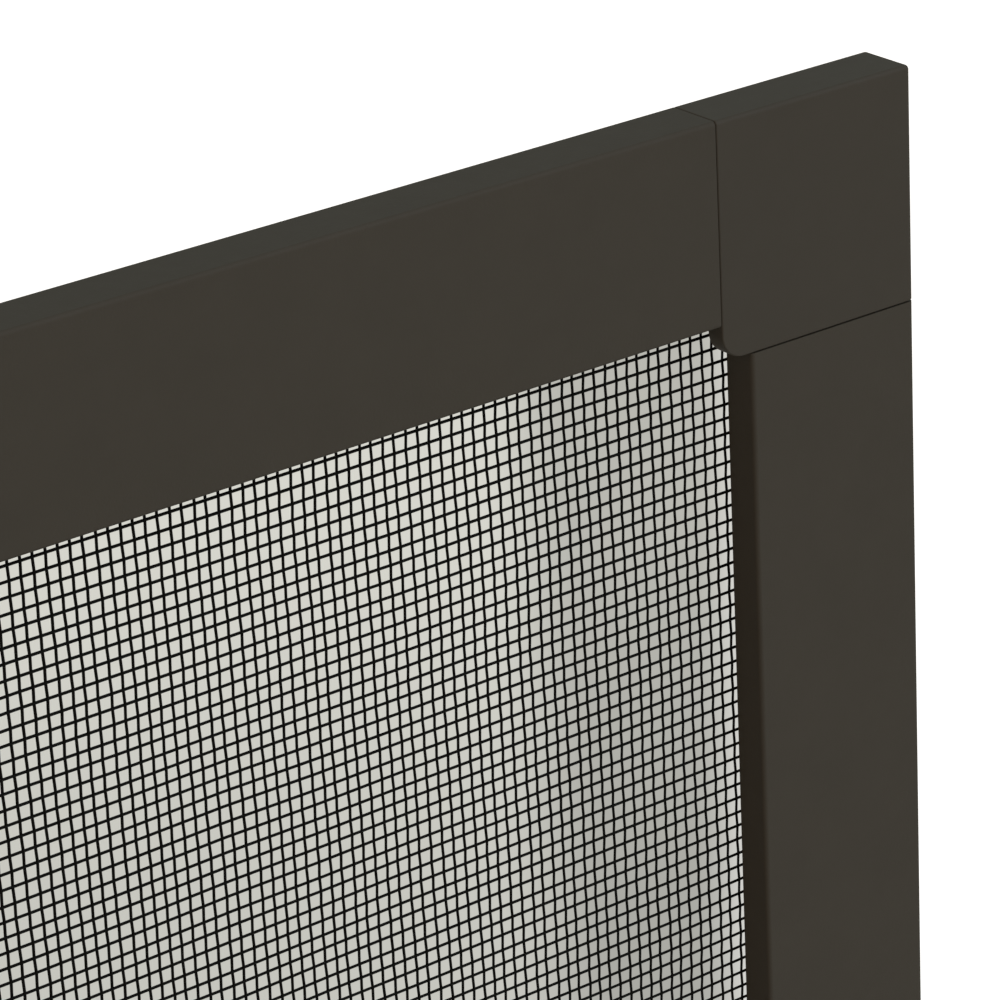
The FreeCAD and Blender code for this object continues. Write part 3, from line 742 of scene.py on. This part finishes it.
def light_sky(stage):
    """Even light from all round, a little warmer from the near side, and white where it is seen."""
    world = bpy.data.worlds.new("even_sky")
    world.use_nodes = True
    tree = world.node_tree
    tree.nodes.clear()
    way = add_node(tree, "ShaderNodeTexCoord").outputs["Generated"]
    beyond = add_node(tree, "ShaderNodeVectorMath", {"operation": "DOT_PRODUCT"}, {0: way, 1: AWAY})
    mix = add_node(tree, "ShaderNodeMapRange", {"interpolation_type": "SMOOTHSTEP"},
                   {"Value": beyond.outputs["Value"], "From Min": -SKY_BLEND, "From Max": SKY_BLEND})
    tint = add_node(tree, "ShaderNodeMix", {"data_type": "RGBA"},
                    {"Factor": mix, 6: stage.sky_near, 7: stage.sky_far})
    path = add_node(tree, "ShaderNodeLightPath")
    seen = add_node(tree, "ShaderNodeMath", {"operation": "MAXIMUM"},
                    {0: path.outputs["Is Camera Ray"], 1: path.outputs["Is Transmission Ray"]})
    level = add_node(tree, "ShaderNodeMapRange", {}, {"Value": seen, "To Min": stage.sky, "To Max": 1.0})
    colour = add_node(tree, "ShaderNodeMix", {"data_type": "RGBA"},
                      {"Factor": seen, 6: tint.outputs[2], 7: (1.0, 1.0, 1.0, 1.0)})
    sky = add_node(tree, "ShaderNodeBackground", {}, {"Color": colour.outputs[2], "Strength": level})
    add_node(tree, "ShaderNodeOutputWorld", {}, {"Surface": sky})
    bpy.context.scene.world = world


class SCREEN_OT_set_stage(bpy.types.Operator):
    """Set up the floor, the light and the camera"""

    bl_idname = "insect_screen.set_stage"
    bl_label = "Set stage"

    def execute(self, context):
        stage = context.scene.screen_stage
        corners = [(side * FLOOR_HALF, end * FLOOR_HALF, FRAME_LOW.z)
                   for side, end in ((-1, -1), (1, -1), (1, 1), (-1, 1))]
        flat_piece("floor", corners, floor_material(stage))
        light_sky(stage)
        self.hang_key(stage, (FRAME_LOW + FRAME_HIGH) / 2)
        self.place_camera(stage, Vector((FRAME_HIGH.x, FRAME_LOW.y, FRAME_HIGH.z)))
        context.scene.view_settings.view_transform = "Standard"
        return {"FINISHED"}

    @staticmethod
    def hang_key(stage, centre):
        """One large soft lamp, in front, to the right and above."""
        lamp = bpy.data.lights.new("key_lamp", "AREA")
        lamp.shape = "SQUARE"
        lamp.size = KEY_SIZE
        lamp.energy = stage.key_power
        lamp.color = stage.key_colour[:3]
        holder = bpy.data.objects.new("key_lamp", lamp)
        bpy.context.scene.collection.objects.link(holder)
        towards = Vector((-math.sin(KEY_AZIMUTH) * math.cos(KEY_ELEVATION),
                          -math.cos(KEY_AZIMUTH) * math.cos(KEY_ELEVATION), math.sin(KEY_ELEVATION)))
        holder.location = centre + towards * KEY_DISTANCE
        holder.rotation_euler = towards.to_track_quat("Z", "Y").to_euler()

    @staticmethod
    def place_camera(stage, corner):
        """Camera at the photograph's viewing angle, measured from the corner that it shows."""
        camera = bpy.data.cameras.new("camera")
        camera.sensor_width = SENSOR_WIDTH
        camera.lens = stage.lens
        camera.clip_start = 0.01
        holder = bpy.data.objects.new("camera", camera)
        bpy.context.scene.collection.objects.link(holder)
        holder.matrix_world = (Matrix.Translation(corner + Vector(stage.camera_place))
                               @ Matrix.Rotation(-stage.azimuth, 4, "Z")
                               @ Matrix.Rotation(math.pi / 2 - stage.elevation, 4, "X")
                               @ Matrix.Rotation(-stage.roll, 4, "Z"))
        bpy.context.scene.camera = holder


STEPS = (
    SCREEN_OT_finish_bars,
    SCREEN_OT_finish_corners,
    SCREEN_OT_weave_cloth,
    SCREEN_OT_fold_edge,
    SCREEN_OT_finish_spline,
    SCREEN_OT_finish_tabs,
    SCREEN_OT_set_stage,
)
SETTINGS = {
    "screen_channel": ChannelSettings,
    "screen_cloth": ClothSettings,
    "screen_finish": FinishSettings,
    "screen_stage": StageSettings,
}


class SCREEN_PT_steps(bpy.types.Panel):
    """Lists the steps that dress the screen"""

    bl_idname = "SCREEN_PT_steps"
    bl_label = "Insect screen"
    bl_space_type = "VIEW_3D"
    bl_region_type = "UI"
    bl_category = "Screen"

    def draw(self, context):
        for step in STEPS:
            self.layout.operator(step.bl_idname)


def register():
    """Make the settings, the steps and the panel known to Blender."""
    for name, group in SETTINGS.items():
        bpy.utils.register_class(group)
        setattr(bpy.types.Scene, name, PointerProperty(type=group))
    for step in (*STEPS, SCREEN_PT_steps):
        bpy.utils.register_class(step)


def unregister():
    """Take back what register() made."""
    for step in (SCREEN_PT_steps, *reversed(STEPS)):
        bpy.utils.unregister_class(step)
    for name, group in reversed(SETTINGS.items()):
        delattr(bpy.types.Scene, name)
        bpy.utils.unregister_class(group)


def main():
    """Dress the screen step by step."""
    register()
    for step in STEPS:
        area, name = step.bl_idname.split(".")
        getattr(getattr(bpy.ops, area), name)()


if __name__ == "__main__":
    main()
